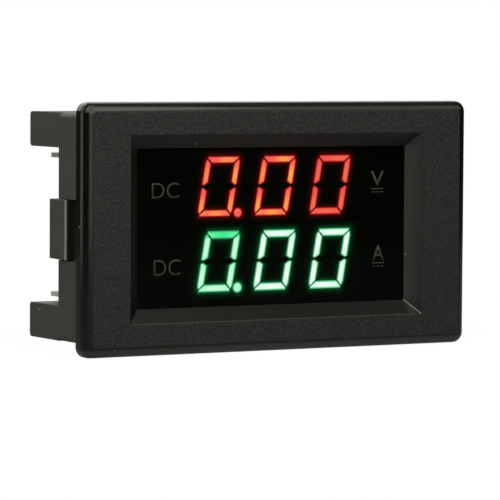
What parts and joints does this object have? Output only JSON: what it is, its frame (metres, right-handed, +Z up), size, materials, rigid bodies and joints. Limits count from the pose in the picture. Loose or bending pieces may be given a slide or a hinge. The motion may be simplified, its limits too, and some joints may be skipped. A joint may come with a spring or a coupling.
{
  "type": "digital panel meter",
  "caption": "Flush panel meter with a volt row and an ampere row of lit digits, spring side latches, and rear screw terminals.",
  "frame": {"origin": "centre of the plane where the bezel flange meets the instrument panel", "axes": "+X right as seen from the front, +Y rearward along the depth into the panel, +Z up; the display faces -Y"},
  "size_m": [0.085, 0.0286, 0.048],
  "materials": {
    "case_plastic": "fine grained black moulding",
    "smoked_window": "polished smoked acrylic",
    "module_plastic": "smooth black",
    "lit_red": "glowing light guide",
    "lit_green": "glowing light guide",
    "unlit_segment": "tinted light guide, unlit",
    "tinned_metal": "tin plated",
    "board_laminate": "green solder mask over glass laminate",
    "steel": "zinc plated steel",
    "terminal_plastic": "green polyamide",
    "trimmer_plastic": "blue moulding",
    "brass": "turned brass",
    "can_metal": "drawn aluminium",
    "shunt_metal": "rolled resistance alloy"
  },
  "bodies": {
    "meter": {"front_case": "case_plastic", "rear_cover": "case_plastic", "display_window": "smoked_window", "volt_module": "module_plastic", "volt_segments": "lit_red", "amp_module": "module_plastic", "amp_segments": "lit_green", "dark_segments": "unlit_segment", "board_pins": "tinned_metal", "circuit_board": "board_laminate", "board_screws": "steel", "supply_terminal": "terminal_plastic", "measuring_terminal": "terminal_plastic", "terminal_strips": "tinned_metal", "trimmer_bodies": "trimmer_plastic", "measuring_chip": "module_plastic", "voltage_regulator": "module_plastic", "chip_leads": "tinned_metal", "capacitor_cans": "can_metal", "capacitor_bases": "module_plastic", "current_shunt": "shunt_metal"},
    "latch_left": {"latch_left": "case_plastic"},
    "latch_right": {"latch_right": "case_plastic"},
    "volt_trimmer_screw": {"volt_trimmer_screw": "brass"},
    "amp_trimmer_screw": {"amp_trimmer_screw": "brass"},
    "supply_screw_1": {"supply_screw_1": "steel"},
    "supply_screw_2": {"supply_screw_2": "steel"},
    "supply_clamp_1": {"supply_clamp_1": "tinned_metal"},
    "supply_clamp_2": {"supply_clamp_2": "tinned_metal"},
    "measuring_screw_1": {"measuring_screw_1": "steel"},
    "measuring_screw_2": {"measuring_screw_2": "steel"},
    "measuring_screw_3": {"measuring_screw_3": "steel"},
    "measuring_screw_4": {"measuring_screw_4": "steel"},
    "measuring_clamp_1": {"measuring_clamp_1": "tinned_metal"},
    "measuring_clamp_2": {"measuring_clamp_2": "tinned_metal"},
    "measuring_clamp_3": {"measuring_clamp_3": "tinned_metal"},
    "measuring_clamp_4": {"measuring_clamp_4": "tinned_metal"}
  },
  "joints": [
    {"name": "latch_left_press", "type": "hinge", "parent": "meter", "child": "latch_left", "pos_m": [-0.0382, 0.0026, -0.00045], "axis": [0, 0, -1], "range_deg": [0, 9], "stiffness_Nm_per_rad": 0.5, "springref_deg": -1.15},
    {"name": "latch_right_press", "type": "hinge", "parent": "meter", "child": "latch_right", "pos_m": [0.0382, 0.0026, -0.00045], "axis": [0, 0, 1], "range_deg": [0, 9], "stiffness_Nm_per_rad": 0.5, "springref_deg": -1.15},
    {"name": "supply_screw_1_turn", "type": "hinge", "parent": "meter", "child": "supply_screw_1", "pos_m": [-0.03256, 0.015, 0.0103], "axis": [0, -1, 0], "range_deg": [0, 1300]},
    {"name": "supply_clamp_1_rise", "type": "slide", "parent": "meter", "child": "supply_clamp_1", "axis": [0, 1, 0], "range_m": [0, 0.0018]},
    {"name": "supply_screw_2_turn", "type": "hinge", "parent": "meter", "child": "supply_screw_2", "pos_m": [-0.02748, 0.015, 0.0103], "axis": [0, -1, 0], "range_deg": [0, 1300]},
    {"name": "supply_clamp_2_rise", "type": "slide", "parent": "meter", "child": "supply_clamp_2", "axis": [0, 1, 0], "range_m": [0, 0.0018]},
    {"name": "measuring_screw_1_turn", "type": "hinge", "parent": "meter", "child": "measuring_screw_1", "pos_m": [-0.03256, 0.015, -0.0103], "axis": [0, -1, 0], "range_deg": [0, 1300]},
    {"name": "measuring_clamp_1_rise", "type": "slide", "parent": "meter", "child": "measuring_clamp_1", "axis": [0, 1, 0], "range_m": [0, 0.0018]},
    {"name": "measuring_screw_2_turn", "type": "hinge", "parent": "meter", "child": "measuring_screw_2", "pos_m": [-0.02748, 0.015, -0.0103], "axis": [0, -1, 0], "range_deg": [0, 1300]},
    {"name": "measuring_clamp_2_rise", "type": "slide", "parent": "meter", "child": "measuring_clamp_2", "axis": [0, 1, 0], "range_m": [0, 0.0018]},
    {"name": "measuring_screw_3_turn", "type": "hinge", "parent": "meter", "child": "measuring_screw_3", "pos_m": [-0.0224, 0.015, -0.0103], "axis": [0, -1, 0], "range_deg": [0, 1300]},
    {"name": "measuring_clamp_3_rise", "type": "slide", "parent": "meter", "child": "measuring_clamp_3", "axis": [0, 1, 0], "range_m": [0, 0.0018]},
    {"name": "measuring_screw_4_turn", "type": "hinge", "parent": "meter", "child": "measuring_screw_4", "pos_m": [-0.01732, 0.015, -0.0103], "axis": [0, -1, 0], "range_deg": [0, 1300]},
    {"name": "measuring_clamp_4_rise", "type": "slide", "parent": "meter", "child": "measuring_clamp_4", "axis": [0, 1, 0], "range_m": [0, 0.0018]},
    {"name": "volt_trimmer_turn", "type": "hinge", "parent": "meter", "child": "volt_trimmer_screw", "pos_m": [0.0272, 0.018, 0.0075], "axis": [0, -1, 0], "continuous": true},
    {"name": "amp_trimmer_turn", "type": "hinge", "parent": "meter", "child": "amp_trimmer_screw", "pos_m": [0.0272, 0.018, -0.0075], "axis": [0, -1, 0], "continuous": true}
  ],
  "couplings": [
    {"joint": "supply_screw_1_turn", "follows": "supply_clamp_1_rise", "rad_per_m": 12566},
    {"joint": "supply_screw_2_turn", "follows": "supply_clamp_2_rise", "rad_per_m": 12566},
    {"joint": "measuring_screw_1_turn", "follows": "measuring_clamp_1_rise", "rad_per_m": 12566},
    {"joint": "measuring_screw_2_turn", "follows": "measuring_clamp_2_rise", "rad_per_m": 12566},
    {"joint": "measuring_screw_3_turn", "follows": "measuring_clamp_3_rise", "rad_per_m": 12566},
    {"joint": "measuring_screw_4_turn", "follows": "measuring_clamp_4_rise", "rad_per_m": 12566}
  ]
}
